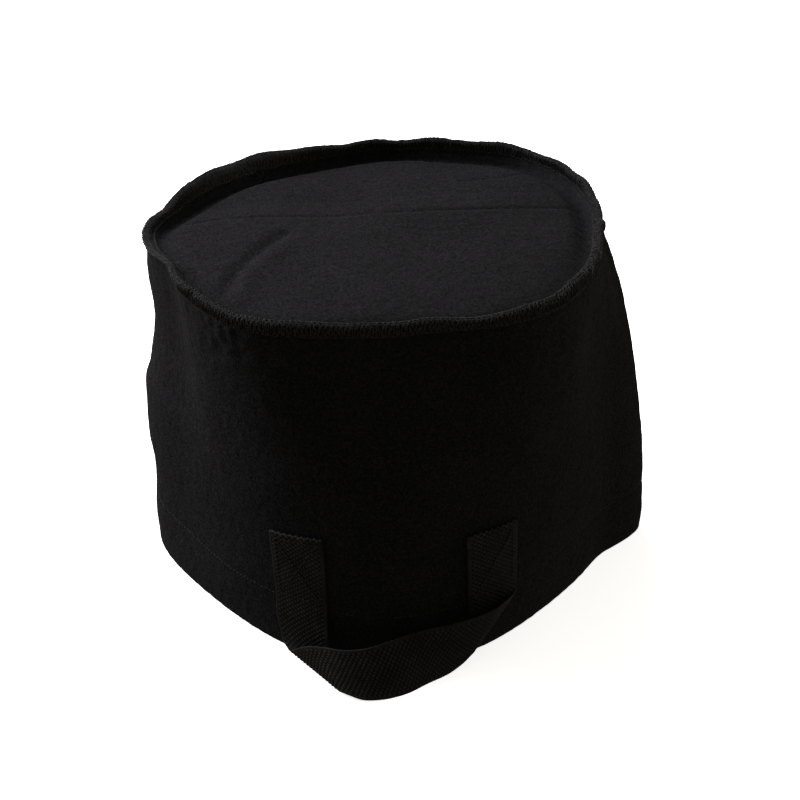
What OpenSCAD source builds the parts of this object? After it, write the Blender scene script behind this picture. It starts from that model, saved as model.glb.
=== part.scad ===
// Fabric grow bag in needle-punched felt, stored upside down: it stands on its open
// mouth, and its base panel is on top. It is sewn from a side wall, a base panel and
// two webbing handles. One handle faces the front, and the other faces the back.
//
// +Z is up, -Y is the front, and the origin is on the floor under the bag's centre.
// Angles run round the bag from +X, and depths run inwards from the wall's outer face.

/* [Bag] */
// Height from the mouth rim to the raw edges of the base seam
bag_h = 248; // [210:1:300]
// Mean radius of the mouth
mouth_r = 153.5; // [140:0.5:170]
// How far the side seam, on the right, draws the mouth out to a point
right_fold = 28.5; // [0:0.5:32]
// How far the fold on the left draws the mouth out to a point
left_fold = 13.5; // [0:0.5:20]
// Mean radius of the base seam
base_r = 152; // [135:1:165]
// How far the soft base leans to the side of the mouth
base_lean = -16; // [-25:1:25]
// How far the soft base leans to the back of the mouth
base_shift = -7; // [-15:1:15]

/* [Felt and seams] */
// Thickness of the felt
felt_t = 2.5; // [2:0.5:4]
// Height of the base seam's allowance, which stands up round the panel
seam_h = 10; // [8:1:14]
// How far the middle of the base panel stands above its edge
panel_rise = 5; // [0:1:15]
// Depth of the hem that is folded inside the mouth
hem_h = 45; // [40:1:50]
// Height of the hem's stitch line above the rim
hem_stitch_z = 41; // [38:1:45]
// Width of the side seam's allowance, which stands into the bag
side_seam_w = 9; // [6:1:12]
// Thickness of a sewn line of thread
thread_t = 0.6; // [0.4:0.1:0.8]

/* [Handles] */
// Width of the webbing
strap_w = 38; // [30:1:40]
// Thickness of the webbing
strap_t = 1.6; // [1.2:0.1:2]
// Height of each handle end that is sewn flat on the wall
end_h = 51; // [40:1:60]
// Distance from the webbing's edge to the box stitch
box_inset = 4; // [3:0.5:6]

/* [Hidden] */

felt_colour = [0.055, 0.055, 0.06];
webbing_colour = [0.045, 0.045, 0.048];
thread_colour = [0.09, 0.09, 0.095];

// Clearance between pieces that are sewn face to face
touch = 0.05;
// Clearance between a handle end and the wall that it is sewn to
end_gap = 0.3;
// Clearance between a handle's loop and the floor or its sewn ends
swing_gap = 0.4;
shoulder_z = bag_h - seam_h;
// Largest angle between two stations round the bag
station_step = 5.2;

// The base seam's round is pushed out here, or pulled in: [angle, half width, depth]
seam_pulls = [[178, 9, 5], [-155, 12, -11], [-116, 15, 11], [-72, 14, -7], [68, 12, -6]];

// The wall bulges here, or sinks in: [angle, half width, height, half height, depth]
wall_bulges = [[180, 45, 178, 38, -5], [185, 35, 128, 14, 3], [0, 40, 215, 30, 3]];

// The side seam is at 0 degrees, and its allowance is two layers of felt
seam_a = felt_t / mouth_r * 180 / PI;
seam_edge_a = 0.06;
seam_bottom = hem_h + 2;
seam_top = shoulder_z - 10;

// The handle ends, as angles of their middles
left_end_a = 113;
right_end_a = 66.2;
end_bottom = hem_stitch_z + 2;
end_top = end_bottom + end_h;
end_t = 2 * strap_t;

// The two edges of the front handle's loop, from its left end to its right end
loop_outer = [
    [-80, -140, 42], [-80, -142, 28], [-78, -145, 17], [-76, -149, 11], [-72, -155, 9], [-67, -160, 14],
    [-60, -165, 20], [-49, -172, 25], [-35, -180, 29], [-20, -184, 34], [-4, -181, 38], [14, -173, 39],
    [32, -167, 39], [48, -161, 40], [60, -153, 40], [68, -146, 40], [74, -140, 39], [77, -135, 39],
    [77, -132, 42],
];
loop_inner = [
    [-46, -160, 42], [-46, -162, 25], [-45, -166, 10], [-43, -174, 3], [-39, -186, 2], [-35, -191, 3],
    [-30, -194, 3], [-23, -195, 1], [-14, -195, 1], [-5, -193, 1], [6, -188, 1], [18, -179, 1],
    [31, -171, 2], [40, -166, 6], [45, -163, 10], [48, -160, 12], [49, -157, 15], [47, -154, 21],
    [45, -154, 42],
];
loop_steps = 3;

function bump(x, at, half) = exp(-pow((x - at) / half, 2));
function turn(a) = (a + 540) % 360 - 180;
function angle_bump(a, at, half) = bump(turn(a - at), 0, half);
function sum(list, i = 0) = i == len(list) ? 0 : list[i] + sum(list, i + 1);
function unit(v) = v / norm(v);

// Radius of the mouth: a rounded diamond whose points are the two side folds
function mouth_radius(a) = mouth_r - 9 * cos(a) - 3 * cos(2 * a) + 1.5 * cos(3 * a) + 5.5 * cos(4 * a)
    + right_fold * angle_bump(a, 0, 10) + left_fold * angle_bump(a, 180, 20);

// Radius of the base seam: a soft round, longest towards the back right
function base_radius(a) = base_r + 7.3 * cos(a) - 2 * cos(2 * a) + 7 * sin(2 * a)
    - 6.8 * cos(3 * a) - 2.7 * cos(4 * a)
    + sum([for (p = seam_pulls) p[2] * angle_bump(a, p[0], p[1])]);

function bulge(a, z) =
    sum([for (b = wall_bulges) b[4] * angle_bump(a, b[0], b[1]) * bump(z, b[2], b[3])]);

// A point of the wall at an angle, a height and a depth inside its outer face
function wall_point(a, z, d) =
    let (w = pow(min(z / shoulder_z, 1), 2))
    let (r = (1 - w) * mouth_radius(a) + w * base_radius(a) + bulge(a, z) - d)
    [w * base_lean + r * cos(a), w * base_shift + r * sin(a), z];

// Angles from a up to b, without b, at even steps
function steps(a, b) =
    let (n = ceil((b - a) / station_step))
    [for (i = [0 : n - 1]) a + (b - a) * i / n];
function end_half_a(middle) = strap_w / 2 / mouth_radius(middle) * 180 / PI;
function end_keys(middle) = [middle - end_half_a(middle), middle + end_half_a(middle)];
side_keys = concat(end_keys(right_end_a), end_keys(left_end_a));
keys = concat(
    [-180], [for (i = [3 : -1 : 0]) -side_keys[i]],
    [-seam_a - seam_edge_a, -seam_a, seam_a, seam_a + seam_edge_a], side_keys, [180]
);
stations = [for (i = [0 : len(keys) - 2]) each steps(keys[i], keys[i + 1])];

function ring(z, d) = [for (a = stations) wall_point(a, z, d)];

// The wall's inner ring, with the side seam's allowance standing in from it
function seam_ring(z, d) = [
    for (a = stations) wall_point(a, z, abs(a) < seam_a + seam_edge_a / 2 ? d + side_seam_w : d)
];

// Heights of the wall's rings, with one at every edge of what is sewn to it
wall_levels = concat(
    [0, hem_stitch_z - thread_t, hem_stitch_z + thread_t, end_bottom, (end_bottom + end_top) / 2, end_top],
    [for (f = [0.2 : 0.2 : 0.8]) end_top + f * (shoulder_z - end_top)],
    [shoulder_z - 4, shoulder_z, bag_h]
);
inner_levels = [for (f = [0 : 0.2 : 1]) seam_top + f * (seam_bottom - seam_top)];

// A closed skin over rings of points. Each ring runs anticlockwise, seen from the last
// ring. A looped skin joins its last ring to its first, and any other skin has two caps.
module skin(rings, looped = false) {
    n = len(rings[0]);
    count = len(rings);
    spans = looped ? count : count - 1;
    sides = [
        for (i = [0 : spans - 1], j = [0 : n - 1])
        let (a = i * n + j, b = i * n + (j + 1) % n)
        let (c = (i + 1) % count * n + (j + 1) % n, d = (i + 1) % count * n + j)
        each [[a, d, c], [a, c, b]]
    ];
    first_cap = [for (j = [0 : n - 1]) j];
    last_cap = [for (j = [n - 1 : -1 : 0]) (count - 1) * n + j];
    polyhedron([for (r = rings) each r], looped ? sides : concat(sides, [first_cap, last_cap]));
}

// A line of thread that runs all round the bag between two heights and two depths
module thread_ring(z1, z2, d1, d2) {
    skin([ring(z1, d1), ring(z2, d1), ring(z2, d2), ring(z1, d2)], looped = true);
}

module side_wall() {
    outer = [for (z = wall_levels) ring(z, 0)];
    inner = concat(
        [ring(bag_h, felt_t), ring(shoulder_z, felt_t), ring(seam_top + 1, felt_t)],
        [for (z = inner_levels) seam_ring(z, felt_t)],
        [ring(seam_bottom - 1, felt_t), ring(hem_h, 2 * felt_t)],
        [ring(hem_stitch_z + thread_t, 2 * felt_t), ring(hem_stitch_z - thread_t, 2 * felt_t)],
        [ring(0, 2 * felt_t)]
    );
    color(felt_colour) skin(concat(outer, inner), looped = true);
}

// A ring of the base panel, f of the way from its middle to its edge
function panel_ring(f, z) =
    let (middle = [base_lean, base_shift, 0])
    [
        for (p = ring(bag_h, 2 * felt_t))
        [middle[0] + f * (p[0] - middle[0]), middle[1] + f * (p[1] - middle[1]), z]
    ];

module base_panel() {
    foot_z = shoulder_z + 0.6;
    shares = [0.15, 0.4, 0.65, 0.83, 0.94];
    function dome(f) = foot_z + panel_rise * (1 - pow(f, 3));
    under = [for (f = shares) panel_ring(f, dome(f) - felt_t)];
    turned_up = [
        ring(shoulder_z, felt_t + touch), ring(bag_h, felt_t + touch),
        ring(bag_h, 2 * felt_t), ring(foot_z, 2 * felt_t),
    ];
    over = [for (i = [len(shares) - 1 : -1 : 0]) panel_ring(shares[i], dome(shares[i]))];
    color(felt_colour) skin(concat(under, turned_up, over));
}

// The overlock's loops, which wrap both raw edges of the base seam
module base_seam_looper_thread() {
    low = shoulder_z + 2.3;
    high = bag_h + touch;
    inside = 2 * felt_t + touch;
    color(thread_colour) skin([
        ring(low, -thread_t), ring(high + thread_t, -thread_t),
        ring(high + thread_t, inside + thread_t), ring(low, inside + thread_t),
        ring(low, inside), ring(high, inside),
        ring(high, -touch), ring(low, -touch),
    ], looped = true);
}

// The overlock's needle line, which shows on both faces of the base seam
module base_seam_needle_thread() {
    low = shoulder_z + 1.2;
    high = low + thread_t;
    inside = 2 * felt_t + touch;
    color(thread_colour) {
        thread_ring(low, high, -thread_t, -touch);
        thread_ring(low, high, inside, inside + thread_t);
    }
}

// The overlock on the side seam's allowance, inside the bag
module side_seam_thread() {
    band = 5;
    edge_d = felt_t + side_seam_w;
    face_a = seam_a + seam_edge_a;
    thread_a = face_a + thread_t / mouth_r * 180 / PI;
    function section(z) = [
        wall_point(thread_a, z, edge_d - band), wall_point(thread_a, z, edge_d + thread_t),
        wall_point(-thread_a, z, edge_d + thread_t), wall_point(-thread_a, z, edge_d - band),
        wall_point(-face_a, z, edge_d - band), wall_point(-face_a, z, edge_d + touch),
        wall_point(face_a, z, edge_d + touch), wall_point(face_a, z, edge_d - band),
    ];
    color(thread_colour) skin([for (i = [len(inner_levels) - 1 : -1 : 0]) section(inner_levels[i])]);
}

module hem_stitch_thread() {
    low = hem_stitch_z - thread_t;
    high = hem_stitch_z + thread_t;
    color(thread_colour) {
        thread_ring(low, high, -thread_t, -touch);
        thread_ring(low, high, 2 * felt_t + touch, 2 * felt_t + thread_t);
    }
}

// A webbing end, turned under and sewn flat on the wall round an angle
module handle_end(middle) {
    half_a = end_half_a(middle);
    angles = [for (a = stations) if (abs(a - middle) < half_a - 1) a];
    across = concat([middle - half_a], angles, [middle + half_a]);
    function section(z) = concat(
        [for (a = across) wall_point(a, z, -end_gap - end_t)],
        [for (i = [len(across) - 1 : -1 : 0]) wall_point(across[i], z, -end_gap)]
    );
    color(webbing_colour) skin([for (z = [end_bottom, (end_bottom + end_top) / 2, end_top]) section(z)]);
}

// A line of thread on a handle end, from one [angle, height] to another
module stitch_line(from, to, lift = 0) {
    pieces = 4;
    half = thread_t / 2;
    depth = -end_gap - end_t - end_gap - lift;
    run = unit([(to[0] - from[0]) * PI / 180 * mouth_r, to[1] - from[1]]);
    side_a = -run[1] * half / mouth_r * 180 / PI;
    side_z = run[0] * half;
    function section(f) =
        let (a = from[0] + f * (to[0] - from[0]), z = from[1] + f * (to[1] - from[1]))
        [
            wall_point(a + side_a, z + side_z, depth), wall_point(a - side_a, z - side_z, depth),
            wall_point(a - side_a, z - side_z, depth - thread_t),
            wall_point(a + side_a, z + side_z, depth - thread_t),
        ];
    skin([for (i = [0 : pieces]) section(i / pieces)]);
}

// The box of stitches that holds a handle end, with a cross inside it
module box_stitch(middle) {
    inset_a = box_inset / mouth_r * 180 / PI;
    a1 = middle - end_half_a(middle) + inset_a;
    a2 = middle + end_half_a(middle) - inset_a;
    z1 = end_bottom + box_inset;
    z2 = end_top - box_inset;
    gap_a = 0.5;
    gap_z = 1.2;
    color(thread_colour) {
        stitch_line([a1, z1], [a2, z1]);
        stitch_line([a1, z2], [a2, z2]);
        stitch_line([a1, z1 + gap_z], [a1, z2 - gap_z]);
        stitch_line([a2, z1 + gap_z], [a2, z2 - gap_z]);
        stitch_line([a1 + gap_a, z1 + gap_z], [a2 - gap_a, z2 - gap_z]);
        stitch_line([a1 + gap_a, z2 - gap_z], [a2 - gap_a, z1 + gap_z], lift = thread_t + touch);
    }
}

// A smooth curve through a list of points, with its end tangents along its end spans
function curve(points, steps) =
    let (last = len(points) - 1)
    concat([
        for (i = [0 : last - 1], k = [0 : steps - 1])
        let (t = k / steps)
        let (p0 = i == 0 ? 2 * points[0] - points[1] : points[i - 1], p1 = points[i], p2 = points[i + 1])
        let (p3 = i == last - 1 ? 2 * p2 - p1 : points[i + 2])
        p1 + t / 2 * (p2 - p0) + t * t * (p0 - 2.5 * p1 + 2 * p2 - 0.5 * p3)
            + t * t * t * (1.5 * (p1 - p2) + 0.5 * (p3 - p0))
    ], [points[last]]);

function above_floor(p) = [p[0], p[1], max(p[2], swing_gap)];

// The free webbing of a handle, as a ribbon between its two edges
module handle_loop() {
    outer = curve(loop_outer, loop_steps);
    inner = curve(loop_inner, loop_steps);
    last = len(outer) - 1;
    function section(i) =
        let (before = max(i - 1, 0), after = min(i + 1, last))
        let (run = unit(outer[after] + inner[after] - outer[before] - inner[before]))
        let (face = unit(cross(run, inner[i] - outer[i])) * strap_t / 2)
        [
            for (p = [outer[i] - face, inner[i] - face, inner[i] + face, outer[i] + face])
            above_floor(p)
        ];
    color(webbing_colour) skin([for (i = [0 : last]) section(i)]);
}

module front_handle_left_end() { handle_end(-left_end_a); }
module front_handle_right_end() { handle_end(-right_end_a); }
module front_handle_loop() { handle_loop(); }
module front_left_box_stitch() { box_stitch(-left_end_a); }
module front_right_box_stitch() { box_stitch(-right_end_a); }

// The rear handle's left and right are those seen from the front
module rear_handle_left_end() { handle_end(left_end_a); }
module rear_handle_right_end() { handle_end(right_end_a); }
module rear_handle_loop() { mirror([0, 1, 0]) handle_loop(); }
module rear_left_box_stitch() { box_stitch(left_end_a); }
module rear_right_box_stitch() { box_stitch(right_end_a); }

side_wall();
base_panel();
base_seam_looper_thread();
base_seam_needle_thread();
side_seam_thread();
hem_stitch_thread();
front_handle_left_end();
front_handle_right_end();
front_handle_loop();
front_left_box_stitch();
front_right_box_stitch();
rear_handle_left_end();
rear_handle_right_end();
rear_handle_loop();
rear_left_box_stitch();
rear_right_box_stitch();
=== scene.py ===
"""Looks for the fabric grow bag: black felt, overlocked base seam and webbing handles.

The bag stands upside down on its open mouth. Shapes are worked out in millimetres, with
the same outline rules as the CAD, and turned into metres when a mesh is made.
Angles run round the bag from +X, in degrees. Depths run inwards from the wall's outer face.
"""

import bpy
import numpy as np
from mathutils import Euler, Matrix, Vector


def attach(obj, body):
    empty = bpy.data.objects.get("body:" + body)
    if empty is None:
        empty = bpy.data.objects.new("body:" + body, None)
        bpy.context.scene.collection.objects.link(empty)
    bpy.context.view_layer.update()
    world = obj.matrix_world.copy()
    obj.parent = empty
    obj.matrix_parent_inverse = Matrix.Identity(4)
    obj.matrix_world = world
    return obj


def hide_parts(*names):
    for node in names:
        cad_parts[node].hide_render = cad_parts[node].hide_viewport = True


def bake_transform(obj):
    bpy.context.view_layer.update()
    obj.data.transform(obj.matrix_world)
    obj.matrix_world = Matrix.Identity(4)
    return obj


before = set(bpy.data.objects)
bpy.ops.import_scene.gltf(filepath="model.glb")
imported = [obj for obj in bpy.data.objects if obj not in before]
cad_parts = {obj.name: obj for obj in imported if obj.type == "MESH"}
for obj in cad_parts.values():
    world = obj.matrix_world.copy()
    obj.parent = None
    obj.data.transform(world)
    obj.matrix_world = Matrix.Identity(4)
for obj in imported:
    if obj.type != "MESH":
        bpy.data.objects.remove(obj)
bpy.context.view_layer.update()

MM = 0.001
TAU = 2 * np.pi

# ---------------------------------------------------------------- driving sizes, in mm
BAG_H = 248.0
SEAM_H = 10.0
SHOULDER_Z = BAG_H - SEAM_H
FELT_T = 2.5
HEM_H = 45.0
HEM_STITCH_Z = 41.0
SIDE_SEAM_W = 9.0
MOUTH_R = 153.5
BASE_R = 152.0
BASE_MIDDLE = np.array([-16.0, -7.0])
PANEL_RISE = 5.0
STRAP_W = 38.0
STRAP_T = 1.6
END_H = 51.0
END_BOTTOM = HEM_STITCH_Z + 2
END_TOP = END_BOTTOM + END_H
END_ANGLES = {"left": 113.0, "right": 66.2}
BOX_INSET = 4.0
THREAD_R = 0.32
FLOOR_GAP = 0.4

# ---------------------------------------------------------------- camera, lights, floor
CAMERA_PLACE = (0.0, -0.948, 0.6547)
CAMERA_PITCH = 30.0
CAMERA_LENS = 69.75


def make_camera():
    """A camera at the bag's front that looks down on it."""
    data = bpy.data.cameras.new("camera")
    data.lens = CAMERA_LENS
    data.sensor_width = 36.0
    data.clip_end = 50.0
    camera = bpy.data.objects.new("camera", data)
    camera.location = CAMERA_PLACE
    camera.rotation_euler = Euler((np.radians(90 - CAMERA_PITCH), 0, 0))
    bpy.context.scene.collection.objects.link(camera)
    bpy.context.scene.camera = camera


def add_area_light(name, place, size, power, colour):
    """A square soft light that faces the middle of the bag."""
    data = bpy.data.lights.new(name, "AREA")
    data.size = size
    data.energy = power
    data.color = colour
    light = bpy.data.objects.new(name, data)
    light.location = place
    aim = Vector((0.0, 0.0, 0.12)) - Vector(place)
    light.rotation_euler = aim.to_track_quat("-Z", "Y").to_euler()
    bpy.context.scene.collection.objects.link(light)


def make_stage():
    """A pale floor under a dim warm sky, with soft lights behind, at the left and at the right.
    The floor neither lights the bag nor shows in its sheen."""
    scene = bpy.context.scene
    scene.view_settings.view_transform = "Standard"
    world = bpy.data.worlds.new("studio")
    scene.world = world
    world.use_nodes = True
    background = world.node_tree.nodes["Background"]
    background.inputs["Color"].default_value = (1.0, 0.93, 0.80, 1.0)
    background.inputs["Strength"].default_value = 0.34

    bpy.ops.mesh.primitive_plane_add(size=60.0)
    floor = bpy.context.object
    floor.name = "floor"
    material = bpy.data.materials.new("pale_floor")
    material.use_nodes = True
    shader = material.node_tree.nodes["Principled BSDF"]
    shader.inputs["Base Color"].default_value = (0.93, 0.93, 0.93, 1.0)
    shader.inputs["Roughness"].default_value = 0.9
    shader.inputs["Specular IOR Level"].default_value = 0.1
    shader.inputs["Emission Color"].default_value = (1.0, 1.0, 1.0, 1.0)
    shader.inputs["Emission Strength"].default_value = 0.75
    floor.data.materials.append(material)
    floor.visible_diffuse = False
    floor.visible_glossy = False

    add_area_light("top_light", (-0.9, 0.75, 1.75), 1.6, 74.0, (1.0, 0.97, 1.02))
    add_area_light("left_light", (-1.75, 0.6, 0.85), 1.0, 40.0, (1.0, 0.95, 1.0))
    add_area_light("right_light", (1.75, 0.5, 0.4), 0.8, 6.0, (1.0, 0.96, 0.9))


make_camera()
make_stage()


# ---------------------------------------------------------------- materials
class Nodes:
    """Short calls for building a material's node tree."""

    def __init__(self, name):
        self.material = bpy.data.materials.new(name)
        self.material.use_nodes = True
        self.tree = self.material.node_tree
        self.shader = self.tree.nodes["Principled BSDF"]
        self.place = self.add("ShaderNodeTexCoord").outputs["Object"]

    def add(self, kind, **settings):
        node = self.tree.nodes.new(kind)
        for key, value in settings.items():
            setattr(node, key, value)
        return node

    def link(self, source, target):
        self.tree.links.new(source, target)

    def stretched(self, scale, turn=(0, 0, 0)):
        mapping = self.add("ShaderNodeMapping")
        mapping.inputs["Scale"].default_value = scale
        mapping.inputs["Rotation"].default_value = turn
        self.link(self.place, mapping.inputs["Vector"])
        return mapping.outputs["Vector"]

    def noise(self, scale, detail=3.0, roughness=0.55, vector=None, distortion=0.0):
        node = self.add("ShaderNodeTexNoise")
        node.inputs["Scale"].default_value = scale
        node.inputs["Detail"].default_value = detail
        node.inputs["Roughness"].default_value = roughness
        node.inputs["Distortion"].default_value = distortion
        self.link(vector or self.place, node.inputs["Vector"])
        return node.outputs["Fac"]

    def remap(self, value, low, high, to_low, to_high):
        node = self.add("ShaderNodeMapRange")
        for key, number in zip(
            ("From Min", "From Max", "To Min", "To Max"), (low, high, to_low, to_high)
        ):
            node.inputs[key].default_value = number
        self.link(value, node.inputs["Value"])
        return node.outputs["Result"]

    def math(self, operation, a, b):
        node = self.add("ShaderNodeMath", operation=operation)
        for socket, value in zip(node.inputs, (a, b)):
            if isinstance(value, (int, float)):
                socket.default_value = value
            else:
                self.link(value, socket)
        return node.outputs["Value"]

    def colours(self, value, stops):
        """A colour ramp from (place, grey or colour) stops."""
        node = self.add("ShaderNodeValToRGB")
        ramp = node.color_ramp
        while len(ramp.elements) < len(stops):
            ramp.elements.new(0.5)
        for element, (place, colour) in zip(ramp.elements, stops):
            element.position = place
            element.color = (*colour, 1.0)
        self.link(value, node.inputs["Fac"])
        return node.outputs["Color"]

    def bump(self, height, distance, strength, normal=None):
        node = self.add("ShaderNodeBump")
        node.inputs["Distance"].default_value = distance
        node.inputs["Strength"].default_value = strength
        self.link(height, node.inputs["Height"])
        if normal is not None:
            self.link(normal, node.inputs["Normal"])
        return node.outputs["Normal"]


def felt_material():
    """Needle-punched felt: matted fibres, faint clouds, paler lint and a soft sheen."""
    n = Nodes("black_felt")
    cloudy = n.noise(30.0, 4.0)
    mat = n.noise(620.0, 4.0, 0.7)
    fibres_a = n.noise(400.0, 3.0, 0.6, n.stretched((1.0, 3.5, 2.0), (0.3, 0.2, 0.15)), 0.8)
    fibres_b = n.noise(400.0, 3.0, 0.6, n.stretched((3.5, 1.0, 2.0), (0.1, 0.5, -0.5)), 0.8)
    fibres = n.math("MAXIMUM", fibres_a, fibres_b)
    grain = n.math("ADD", n.math("MULTIPLY", fibres, 0.55), n.math("MULTIPLY", mat, 0.45))
    tone = n.math("ADD", n.math("MULTIPLY", grain, 0.92), n.math("MULTIPLY", cloudy, 0.08))
    stops = [
        (0.455, (0.0034, 0.0033, 0.0035)),
        (0.53, (0.0055, 0.0054, 0.0058)),
        (0.605, (0.0090, 0.0088, 0.0094)),
    ]
    base = n.colours(tone, stops)
    lint = n.remap(n.noise(850.0, 2.0, 0.5), 0.74, 0.80, 0.0, 1.0)
    mix = n.add("ShaderNodeMix", data_type="RGBA")
    n.link(lint, mix.inputs["Factor"])
    n.link(base, mix.inputs["A"])
    mix.inputs["B"].default_value = (0.03, 0.0295, 0.031, 1.0)
    n.link(mix.outputs["Result"], n.shader.inputs["Base Color"])
    n.link(n.remap(mat, 0.3, 0.7, 0.82, 1.0), n.shader.inputs["Roughness"])
    n.link(n.remap(grain, 0.435, 0.615, 0.006, 0.059), n.shader.inputs["Specular IOR Level"])
    n.link(n.remap(grain, 0.435, 0.615, 0.0012, 0.0112), n.shader.inputs["Sheen Weight"])
    n.shader.inputs["Sheen Roughness"].default_value = 0.55
    n.shader.inputs["Sheen Tint"].default_value = (0.75, 0.76, 0.82, 1.0)
    coarse = n.bump(mat, 0.001, 0.4)
    n.link(n.bump(fibres, 0.001, 0.45, coarse), n.shader.inputs["Normal"])
    return n.material


def webbing_material():
    """Black polypropylene webbing: slick split yarns over the modelled weave, with painted shade in the
    weave's sunk gaps.
    """
    n = Nodes("black_webbing")
    yarn = n.noise(700.0, 3.0, 0.6, n.stretched((1.0, 1.0, 0.35)))
    worn = n.noise(60.0, 3.0)
    tone = n.math("ADD", n.math("MULTIPLY", yarn, 0.6), n.math("MULTIPLY", worn, 0.4))
    stops = [
        (0.35, (0.0055, 0.0055, 0.0055)),
        (0.52, (0.0120, 0.0118, 0.0117)),
        (0.68, (0.0210, 0.0208, 0.0206)),
    ]
    base = n.colours(tone, stops)
    # Painted shade: the colour is darkened towards near black where the weave sinks, in the gaps between
    # its ovals.
    gap = n.add("ShaderNodeAttribute", attribute_name="weave_gap_shade").outputs["Fac"]
    painted_shade = n.add("ShaderNodeMix", data_type="RGBA")
    n.link(n.remap(gap, 0.4, 0.9, 0.0, 0.85), painted_shade.inputs["Factor"])
    n.link(base, painted_shade.inputs["A"])
    painted_shade.inputs["B"].default_value = (0.0006, 0.0006, 0.0006, 1.0)
    n.link(painted_shade.outputs["Result"], n.shader.inputs["Base Color"])
    n.link(n.remap(yarn, 0.3, 0.7, 0.45, 0.7), n.shader.inputs["Roughness"])
    n.shader.inputs["Specular IOR Level"].default_value = 0.04
    n.link(n.bump(yarn, 0.00025, 0.5), n.shader.inputs["Normal"])
    return n.material


def thread_material(name, pale):
    """Spun black polyester thread, with its fuzz as noise."""
    n = Nodes(name)
    fuzz = n.noise(1000.0, 3.0, 0.6)
    base = n.colours(fuzz, [(0.40, (0.25 * pale,) * 3), (0.62, (2.1 * pale,) * 3)])
    n.link(base, n.shader.inputs["Base Color"])
    n.link(n.remap(fuzz, 0.3, 0.7, 0.5, 0.8), n.shader.inputs["Roughness"])
    n.shader.inputs["Specular IOR Level"].default_value = 0.05
    n.shader.inputs["Sheen Weight"].default_value = 0.008
    n.link(n.bump(fuzz, 0.0002, 0.5), n.shader.inputs["Normal"])
    return n.material


FELT = felt_material()
WEBBING = webbing_material()
SEAM_THREAD = thread_material("black_seam_thread", 0.012)
BOX_THREAD = thread_material("black_box_thread", 0.009)

# ---------------------------------------------------------------- outlines, as in the CAD
# The base seam is pulled out here, or in: (angle, half width, depth)
SEAM_PULLS = [(178, 9, 5), (-155, 12, -11), (-116, 15, 11), (-72, 14, -7), (68, 12, -6)]
# The wall bulges here, or sinks in: (angle, half width, height, half height, depth)
WALL_BULGES = [(180, 45, 178, 38, -5), (185, 35, 128, 14, 3), (0, 40, 215, 30, 3)]
# How far the mouth is drawn out to a point at its two side folds
RIGHT_FOLD = 28.5
LEFT_FOLD = 13.5


def turn(a):
    """Angles brought to between -180 and 180."""
    return (np.asarray(a) + 540) % 360 - 180


def bump(x, at, half):
    """A round bump: 1 at one place, and small further away than half to each side."""
    return np.exp(-(((x - at) / half) ** 2))


def angle_bump(a, at, half):
    """A bump in angle, which is the same after a whole turn."""
    return bump(turn(a - at), 0, half)


def cosd(a):
    return np.cos(np.radians(a))


def sind(a):
    return np.sin(np.radians(a))


def mouth_radius(a):
    """Radius of the mouth: a rounded diamond whose points are the two side folds."""
    round_ = MOUTH_R - 9 * cosd(a) - 3 * cosd(2 * a) + 1.5 * cosd(3 * a) + 5.5 * cosd(4 * a)
    return round_ + RIGHT_FOLD * angle_bump(a, 0, 10) + LEFT_FOLD * angle_bump(a, 180, 20)


def base_radius(a):
    """Radius of the base seam: a soft round, longest towards the back right."""
    round_ = BASE_R + 7.3 * cosd(a) - 2 * cosd(2 * a) + 7 * sind(2 * a)
    round_ = round_ - 6.8 * cosd(3 * a) - 2.7 * cosd(4 * a)
    return round_ + sum(depth * angle_bump(a, at, half) for at, half, depth in SEAM_PULLS)


def plain_bulge(a, z):
    """How far the plain wall bulges out at an angle and a height."""
    return sum(
        depth * angle_bump(a, at, half) * bump(z, height, half_z)
        for at, half, height, half_z, depth in WALL_BULGES
    )


def plain_wall(a, z, d=0.0):
    """The CAD's wall: points at angles a, heights z and depths d."""
    a, z, d = np.broadcast_arrays(*(np.asarray(x, float) for x in (a, z, d)))
    w = np.minimum(z / SHOULDER_Z, 1) ** 2
    r = (1 - w) * mouth_radius(a) + w * base_radius(a) + plain_bulge(a, z) - d
    return np.stack([w * BASE_MIDDLE[0] + r * cosd(a), w * BASE_MIDDLE[1] + r * sind(a), z], -1)


# ---------------------------------------------------------------- creases and wrinkles
class Ripples:
    """A smooth random field in space, as a sum of waves about one length long."""

    def __init__(self, length, seed, waves=28):
        rng = np.random.default_rng(seed)
        direction = rng.normal(size=(waves, 3))
        direction /= np.linalg.norm(direction, axis=1)[:, None]
        self.waves = direction * (TAU / length * rng.uniform(0.7, 1.4, (waves, 1)))
        self.phases = rng.uniform(0, TAU, waves)

    def __call__(self, points):
        """Values of about -1 to 1 at points."""
        angles = points @ self.waves.T + self.phases
        return np.sin(angles).sum(-1) * (1.2 / np.sqrt(len(self.phases)))


SOFT_WAVES = Ripples(110, seed=3)
SMALL_WAVES = Ripples(34, seed=5)
FELT_LUMPS = Ripples(9, seed=7)
PUCKER_MIX = Ripples(60, seed=11)
EDGE_WAVES = Ripples(45, seed=13)


def smooth(x, low, high):
    """0 below low, 1 above high, and an even curve between."""
    t = np.clip((x - low) / (high - low), 0, 1)
    return t * t * (3 - 2 * t)


def curve(points, steps):
    """A smooth curve through points, with steps points to each span."""
    points = np.asarray(points, float)
    padded = np.vstack([2 * points[0] - points[1], points, 2 * points[-1] - points[-2]])
    t = (np.arange(steps) / steps)[:, None]
    spans = []
    for p0, p1, p2, p3 in zip(padded[:-3], padded[1:-2], padded[2:-1], padded[3:]):
        spans.append(
            p1
            + t / 2 * (p2 - p0)
            + t**2 * (p0 - 2.5 * p1 + 2 * p2 - 0.5 * p3)
            + t**3 * (1.5 * (p1 - p2) + 0.5 * (p3 - p0))
        )
    return np.vstack([*spans, points[-1:]])


def crease(x, width):
    """A sharp fold line at x = 0, with soft sides: 1 on the line and 0 far from it."""
    return np.exp(-np.abs(x) / width)


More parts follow.
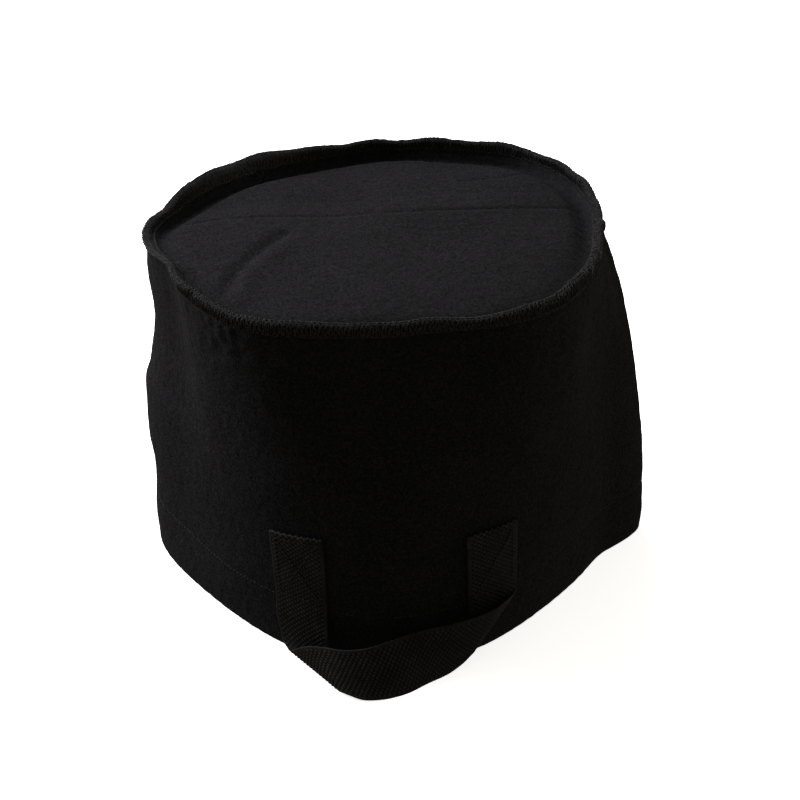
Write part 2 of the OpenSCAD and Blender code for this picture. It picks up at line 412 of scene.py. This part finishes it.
def end_cover(a, z):
    """1 where a handle end holds the felt flat, and 0 well away from it."""
    near = sum(angle_bump(abs(turn(a)), middle, 9.5) ** 0.5 for middle in END_ANGLES.values())
    return np.clip(near, 0, 1) * (1 - smooth(z, END_TOP + 4, END_TOP + 24))


# Short creases under the seam: where they leave it, in degrees, how far they slant, in
# degrees per mm, and half their width, in degrees
PUCKERS = [(-97, -1.1, 2.4), (-106, -0.8, 2.0), (-116, -0.5, 1.6), (-125, -0.3, 1.3), (-62, 0.4, 1.5)]


def wall_detail(a, z, points):
    """How far the real cloth stands out from the plain wall."""
    below_seam = np.clip(SHOULDER_Z - z, 0, None)
    arc = np.radians(a) * BASE_R
    free = 1 - 0.85 * end_cover(a, z)
    held = smooth(z, 2, 30) * smooth(below_seam, 2, 30)
    out = 1.1 * SOFT_WAVES(points) * held * free
    out += 0.12 * SMALL_WAVES(points) * smooth(z, 0, 25) * free
    out += 0.1 * FELT_LUMPS(points)

    # gathers that hang from the base seam, strongest at the front left
    strength = 0.1 + 0.4 * np.clip(PUCKER_MIX(points), 0, 1) + 0.9 * angle_bump(a, -118, 22)
    gathers = np.sin(TAU * arc / 13 + 1.7 * PUCKER_MIX(points))
    out += 0.6 * strength * gathers * np.exp(-below_seam / 11) * (z <= SHOULDER_Z)
    folds = np.sin(TAU * arc / 31 + 2.2 * SMALL_WAVES(points))
    out += 0.7 * strength * folds * np.exp(-below_seam / 26) * smooth(below_seam, 0, 6)

    # short slanting creases under the seam, most of them at the front left
    for at, tilt, half in PUCKERS:
        slant = turn(a - at) - tilt * below_seam
        out += 0.4 * (bump(slant, half, half) - bump(slant, -half, half)) * bump(below_seam, 16, 13) * free

    # the roll of slack cloth on the left, over a sharp level crease
    left = angle_bump(a, 188, 34)
    line = 146 + 5 * sind(3 * (a + 20))
    out += left * (3.0 * bump(z, line - 48, 24) - 0.8 * bump(z, line - 14, 12))
    out -= 1.2 * left * crease(z - line, 5)
    out -= 1.3 * angle_bump(a, 205, 14) * crease(z - line - 34 - 0.3 * turn(a - 205), 5)

    # the side seam's ridge on the right, and the fold on the left
    out += 1.7 * angle_bump(a, 0, 1.6) * smooth(z, 0, 20) - 1.0 * angle_bump(a, -4.5, 3.0)
    out += 0.9 * angle_bump(a, 180, 1.8) * (1 - smooth(z, 150, 190))

    # slack folds that run down from the seam at the front right
    slant = turn(a + 38) + 0.05 * (z - 190)
    out += 1.6 * bump(slant, 0, 7) * bump(z, 185, 45) - 1.2 * bump(slant, 12, 5) * bump(z, 190, 35)

    # the hem's stitch line draws the cloth in, and the rim is rounded
    stitch_pull = np.sin(TAU * np.radians(a) * MOUTH_R / 9 + PUCKER_MIX(points))
    out -= (0.5 + 0.06 * stitch_pull) * bump(z, HEM_STITCH_Z, 2.2) * free
    out -= 1.3 * np.clip(1 - z / 2.6, 0, 1) ** 2

    # the needle line of the overlock draws both layers together
    out -= 0.8 * bump(z, SHOULDER_Z + 1.4, 2.0)
    return out


def seam_lean(a):
    """How far the top of the base seam's allowance tips outwards, in mm."""
    out = 2.4 * angle_bump(a, -157, 27) - 1.2 * angle_bump(a, 60, 50) + 0.8 * cosd(5 * a + 40)
    out += 1.5 * crease(turn(a + 178), 4) - 3.0 * crease(turn(a + 135), 4)
    out += 6.0 * angle_bump(a, 140, 28)
    return out - 1.8 * crease(turn(a - 69.5), 0.8) - 1.4 * crease(turn(a - 65), 0.8)


def seam_wave(a, points):
    """How far the top of the base seam's allowance stands above its plain height."""
    return 0.7 * EDGE_WAVES(points) - 0.5 - 7.0 * angle_bump(a, -174, 20) + 3.0 * angle_bump(a, 135, 26)


def wall(a, z, d):
    """The cloth wall: the plain wall with its creases, and its leaning, wavy seam edge."""
    a, z, d = np.broadcast_arrays(*(np.asarray(x, float) for x in (a, z, d)))
    base = plain_wall(a, z)
    share = np.clip((z - SHOULDER_Z) / SEAM_H, 0, 1.2)
    out = wall_detail(a, z, base) + seam_lean(a) * share**1.5
    points = plain_wall(a, z, d - out)
    points[..., 2] += share * seam_wave(a, base)
    return points


# ---------------------------------------------------------------- meshes
def make_mesh(name, points, faces, material):
    """A smooth-shaded mesh object from points in millimetres."""
    mesh = bpy.data.meshes.new(name)
    mesh.from_pydata((np.asarray(points) * MM).tolist(), [], faces)
    mesh.materials.append(material)
    mesh.polygons.foreach_set("use_smooth", np.ones(len(mesh.polygons), bool))
    mesh.update()
    piece = bpy.data.objects.new(name, mesh)
    bpy.context.scene.collection.objects.link(piece)
    return piece


def skin_faces(count, n, looped, start=0):
    """Faces of a skin over count rings of n points, numbered from start."""
    i = np.arange(count if looped else count - 1)[:, None]
    j = np.arange(n)[None, :]
    after, beside = (i + 1) % count, (j + 1) % n
    quads = np.stack([i * n + j, i * n + beside, after * n + beside, after * n + j], -1)
    faces = (quads.reshape(-1, 4) + start).tolist()
    if not looped:
        faces.append([start + k for k in range(n - 1, -1, -1)])
        faces.append([start + (count - 1) * n + k for k in range(n)])
    return faces


def skin(name, rings, material, looped=False):
    """One closed piece over rings of points."""
    rings = np.asarray(rings)
    return make_mesh(
        name, rings.reshape(-1, 3), skin_faces(*rings.shape[:2], looped), material
    )


def tube_rings(path, sides, looped):
    """Rings of a thread's outline round a path, one for each of its points."""
    path = np.asarray(path, float)
    if looped:
        run = np.roll(path, -1, 0) - np.roll(path, 1, 0)
    else:
        run = np.gradient(path, axis=0)
    run /= np.linalg.norm(run, axis=1)[:, None]
    side = np.cross(run[0], [0.3, 0.2, 0.93])
    sides_out = np.empty_like(run)
    for i, direction in enumerate(run):
        side = side - direction * (side @ direction)
        side /= np.linalg.norm(side)
        sides_out[i] = side
    other = np.cross(run, sides_out)
    turns = np.arange(sides) * TAU / sides
    cos, sin = np.cos(turns)[None, :, None], np.sin(turns)[None, :, None]
    return path[:, None] + THREAD_R * (cos * sides_out[:, None] + sin * other[:, None])


def thread(name, paths, material, sides=6, looped=False):
    """One piece of many tubes of thread, one along each path."""
    points, faces, start = [], [], 0
    for path in paths:
        rings = tube_rings(path, sides, looped)
        faces += skin_faces(len(rings), sides, looped, start)
        points.append(rings.reshape(-1, 3))
        start += rings.shape[0] * sides
    return make_mesh(name, np.concatenate(points), faces, material)


# ---------------------------------------------------------------- felt
# Half the width of the side seam's two layers, as an angle, and the angles of a ring's points
SEAM_A = np.degrees(FELT_T / MOUTH_R)
STATIONS = np.sort(
    np.concatenate(
        [np.arange(-180, 180, 0.5), np.array([-1, 1]) * SEAM_A, np.array([-1.06, 1.06]) * SEAM_A]
    )
)

# Height from one ring of the wall's face to the next
WALL_STEP = 2.6
# Depth of the base seam's inner face, where both layers are pressed together
SEAM_INNER_D = 2 * FELT_T - 0.3


def ring(z, d):
    """A ring of the wall at one height and depth."""
    return wall(STATIONS, z, d)


def seam_ring(z, d):
    """A ring that also runs out and back over the side seam's allowance."""
    return wall(STATIONS, z, np.where(abs(STATIONS) < 1.03 * SEAM_A, d + SIDE_SEAM_W, d))


def make_side_wall():
    """The wall: one closed cloth, out over its face, round the seam's raw edge and back
    down the inside, over the side seam's allowance, to the folded hem."""
    rim_z = [0.0, 0.6, 1.4, 2.6]
    seam_z = SHOULDER_Z + np.array([-3, -1.5, 0, 1.4, 3, 5, 7, 9])
    face_z = np.concatenate([rim_z, np.arange(4.5, SHOULDER_Z - 4, WALL_STEP), seam_z])
    edge = [ring(BAG_H - 0.3, 0.35), ring(BAG_H, 1.0), ring(BAG_H - 0.2, FELT_T - 0.6)]
    inner_z = np.arange(SHOULDER_Z - 10, HEM_H + 2, -12.0)
    rings = [ring(z, 0.0) for z in face_z] + edge
    rings += [ring(z, FELT_T - 0.3) for z in (BAG_H - 1.5, SHOULDER_Z + 4, SHOULDER_Z)]
    rings += [ring(SHOULDER_Z - 9, FELT_T)] + [seam_ring(z, FELT_T) for z in inner_z]
    rings += [ring(HEM_H + 1.2, FELT_T), ring(HEM_H + 0.6, 2 * FELT_T - 0.8), ring(HEM_H, 2 * FELT_T)]
    rings += [ring(z, 2 * FELT_T) for z in (HEM_STITCH_Z, 30.0, 18.0, 6.0, 2.0)]
    rings += [ring(0.5, 2 * FELT_T - 0.6), ring(0.0, 2 * FELT_T - 1.4)]
    piece = skin("side_wall_cloth", rings, FELT, looped=True)
    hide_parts("side_wall")
    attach(piece, "bag")
    return piece


def line_distance(points, ends):
    """Signed distance of points from a bent line, both seen from above."""
    best = np.full(points.shape[:-1], np.inf)
    signed = np.zeros(points.shape[:-1])
    for (x1, y1), (x2, y2) in zip(ends[:-1], ends[1:]):
        run = np.array([x2 - x1, y2 - y1], float)
        length = np.linalg.norm(run)
        rel = points[..., :2] - np.array([x1, y1])
        along = np.clip(rel @ run / length**2, 0, 1)[..., None]
        gap = rel - along * run
        distance = np.linalg.norm(gap, axis=-1)
        side = np.sign(run[0] * rel[..., 1] - run[1] * rel[..., 0])
        nearer = distance < best
        signed = np.where(nearer, side * distance, signed)
        best = np.minimum(best, distance)
    return signed


# Where the folded bag's creases cross the base panel, seen from above
LONG_CREASE = [(-150, 4), (-126, 10), (-46, 14), (26, 20), (108, 34), (140, 38)]
SLANT_CREASE = [(-74, -20), (-86, -42), (-98, -72), (-104, -102), (-108, -128)]
BACK_CREASE = [(46, 82), (72, 88), (96, 106)]


def panel_detail(points, f):
    """How far the base panel's cloth stands above its plain dome."""
    inside = 1 - smooth(f, 0.85, 1.0)
    out = 0.9 * SOFT_WAVES(points + 400) * inside + 0.08 * SMALL_WAVES(points + 90)
    out += 0.08 * FELT_LUMPS(points)
    long_gap = line_distance(points, LONG_CREASE)
    out -= (1.6 * crease(long_gap, 2.2) + 0.09 * np.clip(long_gap, 0, 30)) * inside
    slant_gap = line_distance(points, SLANT_CREASE)
    out += (0.8 * bump(slant_gap, 8, 7) - 2.1 * bump(slant_gap, -3, 5)) * inside
    out -= 1.2 * crease(line_distance(points, BACK_CREASE), 3) * inside
    return out


def panel_ring(f, z):
    """A ring of the base panel, f of the way from its middle to the seam's inner face."""
    rim = wall(STATIONS, SHOULDER_Z + 1.0, 2 * FELT_T)
    points = np.empty_like(rim)
    points[:, :2] = BASE_MIDDLE + f * (rim[:, :2] - BASE_MIDDLE)
    points[:, 2] = z
    points[:, 2] += panel_detail(points, f)
    arc = np.radians(STATIONS) * BASE_R
    gathers = np.sin(TAU * arc / 12.5 + 1.5 * PUCKER_MIX(points))
    points[:, 2] += 0.3 * gathers * np.exp(-(1 - f) * BASE_R / 7)
    return points


def make_base_panel():
    """The base panel: a domed round of felt with its edge turned up against the wall's."""
    foot_z = SHOULDER_Z + 0.8
    groove = 1.5 + 4.5 * smooth(sind(STATIONS), -0.4, 0.3)
    near_rim = [0.945, 0.96, 0.973, 0.984, 0.993]
    shares = np.concatenate([[0.004, 0.02], np.arange(0.04, 0.93, 0.013), near_rim])

    def dome(f):
        rise = PANEL_RISE * (1 - f**3.0) * smooth(1.06 - f, 0.0, 0.16)
        return foot_z + rise - groove * bump(f, 0.97, 0.05)

    under = [panel_ring(f, dome(f) - FELT_T) for f in (0.004, *np.arange(0.1, 0.95, 0.1), 0.96, 0.985)]
    gap = FELT_T + 0.05
    turned_up = [ring(SHOULDER_Z - 1.2 - 0.8 * groove, gap)]
    turned_up += [ring(z, gap - 0.2) for z in (SHOULDER_Z + 4, BAG_H - 1.2)]
    turned_up += [ring(BAG_H - 0.3, gap + 0.4), ring(BAG_H - 0.2, 2 * FELT_T - 1.2)]
    turned_up += [ring(BAG_H - 0.9, 2 * FELT_T - 0.5)]
    turned_up += [ring(z, SEAM_INNER_D) for z in (BAG_H - 3, SHOULDER_Z + 5, SHOULDER_Z + 3)]
    turned_up += [ring(SHOULDER_Z + 1.8, 2 * FELT_T)]
    over = [panel_ring(f, dome(f)) for f in shares[::-1]]
    piece = skin("base_panel_cloth", under + turned_up + over, FELT)
    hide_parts("base_panel")
    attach(piece, "bag")
    return piece


side_wall = make_side_wall()
base_panel = make_base_panel()

# ---------------------------------------------------------------- sewing
# Lengths round the base seam and round the mouth
BASE_ROUND = 965.0
MOUTH_ROUND = 1011.0
OVERLOCK_PITCH = 3.0
NEEDLE_Z = SHOULDER_Z + 1.5
LOCK_PITCH = 3.4


def seam_path(phase, z, d):
    """Points on the base seam's faces at phases from 0 to 1 round the bag."""
    return wall(phase * 360 - 180, z, d)


def uneven(step, seed):
    """Smooth random values, one for each stitch and some way between for the rest."""
    values = np.random.default_rng(seed).normal(size=int(step[-1]) + 2)
    return np.interp(step, np.arange(len(values)), values)


def overlock_loop(face_d, lean, seed, shift=0.0, samples=8):
    """A looper thread on one face: up to the raw edge and back, once for each stitch."""
    stitches = round(BASE_ROUND / OVERLOCK_PITCH)
    step = np.arange(stitches * samples) / samples
    lift = 0.5 - 0.5 * np.cos(TAU * (step + shift))
    foot = NEEDLE_Z + (1.2 if shift else 0.0) + 0.35 * uneven(step, seed)
    height = foot + (BAG_H + 0.2 + 0.25 * uneven(step, seed + 1) - foot) * lift
    slide = lean * np.sin(TAU * (step + shift)) + 0.16 * uneven(step, seed + 2)
    outward = np.where(face_d > FELT_T, 1, -1)
    over_edge = smooth(lift, 0.86, 1.0) * (FELT_T - 0.2)
    raised = THREAD_R * (0.9 + (1.1 if shift else 0.0)) * (1 - 0.15 * uneven(step, seed + 3) ** 2)
    depth = face_d + outward * raised - outward * over_edge
    return seam_path((step + slide) / stitches, height, depth)


def edge_chain(samples=6):
    """Where the two loopers lock together along the raw edge."""
    stitches = round(BASE_ROUND / OVERLOCK_PITCH)
    step = np.arange(stitches * samples) / samples
    depth = FELT_T + 0.9 * np.sin(TAU * step)
    height = BAG_H + 0.15 + 0.35 * np.cos(2 * TAU * step)
    return seam_path((step + 0.2 * np.sin(2 * TAU * step)) / stitches, height, depth)


def make_overlock():
    """The looper threads: two that lean opposite ways on each face, and the chain on the edge."""
    paths = [
        overlock_loop(0.0, 0.58, seed=21),
        overlock_loop(0.0, -0.62, seed=31, shift=0.5),
        overlock_loop(SEAM_INNER_D, -0.58, seed=41),
        overlock_loop(SEAM_INNER_D, 0.62, seed=51, shift=0.5),
        edge_chain(),
    ]
    piece = thread("base_seam_loopers", paths, SEAM_THREAD, sides=5, looped=True)
    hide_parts("base_seam_looper_thread")
    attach(piece, "bag")


def stitch(start, end, sink, samples=5):
    """One stitch between two points of a seam line: a short arch that dips at its ends.
    Each point is an (angle, height, depth) place on the wall."""
    t = np.linspace(0, 1, samples)
    places = np.asarray(start) + t[:, None] * (np.asarray(end) - np.asarray(start))
    places[:, 2] += sink * (2 * t - 1) ** 4
    return wall(places[:, 0], places[:, 1], places[:, 2])


def stitch_row(z, d, sink, pitch, length):
    """Stitches all round the bag at one height. sink is how deep their ends go, and length
    is how far it is round the bag there."""
    count = round(length / pitch)
    half = 0.44 * 360 / count
    middles = -180 + (np.arange(count) + 0.5) * 360 / count
    return [stitch((a - half, z, d), (a + half, z, d), sink) for a in middles]


# Loose ends of the seam's thread on the right: angles, heights and depths on the wall
LONG_TAIL = [
    (-27, 247, 0.5), (-28, 249, -1), (-29.5, 248, -2.2), (-31, 242, -2), (-31.5, 233, -1), (-31, 225, -0.8),
]
SHORT_TAIL = [(-19, 247, 0.5), (-20, 249, -1), (-21.5, 246, -1.8), (-22.5, 240, -1.4), (-22, 234, -0.8)]


def make_needle_line():
    """The needle thread's stitches on both faces of the base seam, and its loose ends."""
    proud = THREAD_R * 0.7
    outer = stitch_row(NEEDLE_Z, -proud, 0.7, OVERLOCK_PITCH, BASE_ROUND)
    inner = stitch_row(NEEDLE_Z + 1.6, SEAM_INNER_D + proud, -0.7, OVERLOCK_PITCH, BASE_ROUND)
    tails = []
    for tail in (LONG_TAIL, SHORT_TAIL):
        places = curve(tail, 6)
        tails.append(wall(places[:, 0], places[:, 1], places[:, 2]))
    piece = thread("base_seam_needle_line", outer + inner + tails, SEAM_THREAD)
    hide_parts("base_seam_needle_thread")
    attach(piece, "bag")


def make_hem_stitches():
    """The lockstitch row through the hem, on both faces."""
    inner_d = 2 * FELT_T + THREAD_R * 0.55
    outer = stitch_row(HEM_STITCH_Z, -THREAD_R * 0.15, 0.6, LOCK_PITCH, MOUTH_ROUND)
    inner = stitch_row(HEM_STITCH_Z, inner_d, -0.6, LOCK_PITCH, MOUTH_ROUND)
    piece = thread("hem_stitches", outer + inner, SEAM_THREAD)
    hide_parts("hem_stitch_thread")
    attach(piece, "bag")


def make_side_seam_overlock():
    """Loops over the raw edges of the side seam's allowance, inside the bag."""
    samples = 8
    top, bottom = SHOULDER_Z - 12, HEM_H + 3
    stitches = round((top - bottom) / OVERLOCK_PITCH)
    step = np.arange(stitches * samples) / samples
    z = bottom + step * OVERLOCK_PITCH
    edge_d = FELT_T + SIDE_SEAM_W
    reach = 0.5 + 0.5 * np.cos(TAU * step)
    side = SEAM_A + np.degrees(THREAD_R * 0.9 / MOUTH_R)
    a = side * np.clip(1.5 * np.cos(np.pi * step), -1, 1)
    d = edge_d + THREAD_R - 5.0 * (1 - reach) * smooth(abs(a), 0.6 * side, side)
    piece = thread("side_seam_overlock", [wall(a, z, d)], SEAM_THREAD)
    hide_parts("side_seam_thread")
    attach(piece, "bag")


make_overlock()
make_needle_line()
make_hem_stitches()
make_side_seam_overlock()

# ---------------------------------------------------------------- handles
# The two edges of the front handle's loop, from its left end to its right end, as in the CAD
LOOP_OUTER = [
    (-80, -140, 42), (-80, -142, 28), (-78, -145, 17), (-76, -149, 11), (-72, -155, 9), (-67, -160, 14),
    (-60, -165, 20), (-49, -172, 25), (-35, -180, 29), (-20, -184, 34), (-4, -181, 38), (14, -173, 39),
    (32, -167, 39), (48, -161, 40), (60, -153, 40), (68, -146, 40), (74, -140, 39), (77, -135, 39),
    (77, -132, 42),
]
LOOP_INNER = [
    (-46, -160, 42), (-46, -162, 25), (-45, -166, 10), (-43, -174, 3), (-39, -186, 2), (-35, -191, 3),
    (-30, -194, 3), (-23, -195, 1), (-14, -195, 1), (-5, -193, 1), (6, -188, 1), (18, -179, 1),
    (31, -171, 2), (40, -166, 6), (45, -163, 10), (48, -160, 12), (49, -157, 15), (47, -154, 21),
    (45, -154, 42),
]
STRAP_COLUMNS = 74
ACROSS = np.linspace(-1, 1, STRAP_COLUMNS + 1)
FINE_STEP = STRAP_W / STRAP_COLUMNS
WEAVE_COLUMNS = 18
WEAVE_ROW = 1.65
WEAVE_DEPTH = 0.5
INNER_LAYER_D = -0.15 - STRAP_T / 2
OUTER_LAYER_D = INNER_LAYER_D - STRAP_T - 0.1


def end_angle(side, facing, across):
    """Angle round the bag at a place across a sewn end: -1 at the loop's outer edge and 1 at
    its inner edge. facing is -1 for the front handle and 1 for the rear one."""
    middle = END_ANGLES[side]
    half = np.degrees(STRAP_W / 2 / mouth_radius(middle))
    return facing * (middle - half * across if side == "left" else middle + half * across)


def end_point(side, facing, across, z, d):
    """A point of a sewn end. Its folded top is a little askew on the front left."""
    askew = 4.0 if (side, facing) == ("left", -1) else 0.8
    lift = askew * (across + 1) / 2 * (z - END_BOTTOM) / END_H
    return wall(end_angle(side, facing, across), z + lift, d)


def sewn_rows(side, facing):
    """Rows of a sewn end's middle surface: up the turned-under layer, over the fold, and down
    the outer layer to the loop."""
    under = [(z, INNER_LAYER_D) for z in np.linspace(END_BOTTOM + 1, END_TOP - 1.2, 14)]
    middle_d = (INNER_LAYER_D + OUTER_LAYER_D) / 2
    reach = (INNER_LAYER_D - OUTER_LAYER_D) / 2
    fold = [
        (END_TOP - 1.2 + reach * np.sin(t), middle_d + reach * np.cos(t))
        for t in np.linspace(0, np.pi, 8)[1:-1]
    ]
    over = [(z, OUTER_LAYER_D) for z in np.arange(END_TOP - 1.2, END_BOTTOM, -FINE_STEP)]
    return np.array([end_point(side, facing, ACROSS, z, d) for z, d in under + fold + over])


def shares_along(line):
    """How far along a line each of its points lies, from 0 to 1, and the line's length."""
    length = np.concatenate([[0], np.cumsum(np.linalg.norm(np.diff(line, axis=0), axis=1))])
    return length / length[-1], length[-1]


def loop_rows(facing, first, last):
    """Rows of the free loop between the sewn rows that it starts and ends at. The loop is
    ruled between its two edges, and each row joins places equally far along both of them."""
    outer, inner = curve(LOOP_OUTER, 40), curve(LOOP_INNER, 40)
    (outer_share, outer_length), (inner_share, inner_length) = map(shares_along, (outer, inner))
    length = (outer_length + inner_length) / 2
    even = np.linspace(0, 1, round(length / FINE_STEP) + 1)
    number = np.arange(len(outer))
    rows = np.empty((len(even), len(ACROSS), 3))
    for column, u in enumerate((ACROSS + 1) / 2):
        place = np.interp(even, outer_share + (inner_share - outer_share) * u, number)
        for k in range(3):
            rows[:, column, k] = np.interp(place, number, outer[:, k] + (inner - outer)[:, k] * u)
    rows[..., 1] *= -facing
    for target, gap, row in ((first, even, 0), (last, 1 - even, -1)):
        shift = target - rows[row]
        rows = rows + shift * (1 - smooth(gap * length, 0, 26))[:, None, None]
    return rows[1:-1]


def strap_rows(facing):
    """Rows of the whole strap's middle surface, eased where its ends meet the loop."""
    left, right = sewn_rows("left", facing), sewn_rows("right", facing)[::-1]
    rows = np.concatenate([left, loop_rows(facing, left[-1], right[0]), right])
    soft = np.zeros(len(rows))
    for joint in (len(left), len(rows) - len(right)):
        soft[joint - 8 : joint + 8] = 1
    for _ in range(30):
        mean = (np.roll(rows, 1, 0) + 2 * rows + np.roll(rows, -1, 0)) / 4
        rows = np.where(soft[:, None, None] > 0, mean, rows)
    return rows


def weave_relief(along):
    """How far the webbing's faces sink below its full thickness: a plain weave of ovals
    between smooth selvages. along is each row's place along the strap."""
    x = (ACROSS + 1) / 2 * WEAVE_COLUMNS
    y = along[:, None] / WEAVE_ROW
    ovals = np.sin(np.pi * x) * np.sin(np.pi * y)
    rib = np.abs(np.cos(np.pi * x)) ** 8 + 0 * y
    relief = 0.5 - 0.5 * ovals * (1.1 - 0.1 * ovals) + 0.35 * rib
    edge = smooth(np.abs(ACROSS), 1 - 2.6 / WEAVE_COLUMNS, 1 - 1.6 / WEAVE_COLUMNS)
    return WEAVE_DEPTH * (relief * (1 - edge) + 0.6 * edge)


def make_strap(facing, name, *nodes):
    """A handle's webbing: both faces of its rows, with the weave pressed in."""
    rows = strap_rows(facing)
    middle = rows[:, STRAP_COLUMNS // 2]
    along = np.concatenate([[0], np.cumsum(np.linalg.norm(np.diff(middle, axis=0), axis=1))])
    face = np.cross(np.gradient(rows, axis=0), np.gradient(rows, axis=1))
    face /= np.linalg.norm(face, axis=-1)[..., None]
    relief = weave_relief(along)
    round_edge = np.sqrt(np.clip(1 - ((np.abs(ACROSS) - 0.965) / 0.035).clip(0) ** 2, 0.12, 1))
    half = ((STRAP_T / 2 - relief) * round_edge)[..., None]
    rings = np.concatenate([rows + face * half, (rows - face * half)[:, ::-1]], axis=1)
    rings[..., 2] = np.maximum(rings[..., 2], FLOOR_GAP)
    # How deep each point sits in the weave, kept on the mesh so that the webbing's colour paints shade into
    # the gaps.
    gaps = np.concatenate([relief, relief[:, ::-1]], axis=1) / WEAVE_DEPTH
    if facing > 0:
        rings, gaps = rings[:, ::-1], gaps[:, ::-1]
    piece = skin(name, rings, WEBBING)
    painted_shade = piece.data.attributes.new("weave_gap_shade", "FLOAT", "POINT")
    painted_shade.data.foreach_set("value", np.ascontiguousarray(gaps, dtype=np.float32).ravel())
    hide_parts(*nodes)
    return piece, along[-1]


def box_point(side, facing, across, z, lift):
    """A point on the outer face of a sewn end, where its stitches lie."""
    face_d = OUTER_LAYER_D - STRAP_T / 2 + 0.5 * WEAVE_DEPTH
    return end_point(side, facing, across, z, face_d - THREAD_R * 0.5 - lift)


def make_box_stitches(side, facing, name, node):
    """A box of stitches on a sewn end, with a cross inside it."""
    inset = 1 - BOX_INSET * 2 / STRAP_W
    low, high = END_BOTTOM + BOX_INSET, END_TOP - BOX_INSET
    corners = [(-inset, low), (inset, low), (inset, high), (-inset, high)]
    runs = list(zip(corners, corners[1:] + corners[:1])) + [
        (corners[0], corners[2]),
        (corners[1], corners[3]),
    ]
    paths = []
    for number, ((u1, z1), (u2, z2)) in enumerate(runs):
        length = np.hypot((u2 - u1) * STRAP_W / 2, z2 - z1)
        count = round(length / LOCK_PITCH)
        for k in range(count):
            t = (k + np.linspace(0.05, 0.95, 6)) / count
            dip = 0.55 * np.linspace(-1, 1, 6) ** 4
            lift = (0.25 if number == 5 else 0.0) - dip
            paths.append(box_point(side, facing, u1 + t * (u2 - u1), z1 + t * (z2 - z1), lift))
    piece = thread(name, paths, BOX_THREAD)
    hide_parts(node)
    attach(piece, "bag")


def make_handle(facing, name):
    """One handle: its strap and its stitches. Gives the strap and its length."""
    side_nodes = [f"{name}_handle_{part}" for part in ("left_end", "right_end", "loop")]
    strap, length = make_strap(facing, f"{name}_strap", *side_nodes)
    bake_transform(strap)
    for side in END_ANGLES:
        make_box_stitches(side, facing, f"{name}_{side}_cross_stitch", f"{name}_{side}_box_stitch")
    return strap, length


front_strap, front_length = make_handle(-1, "front")
rear_strap, rear_length = make_handle(1, "rear")
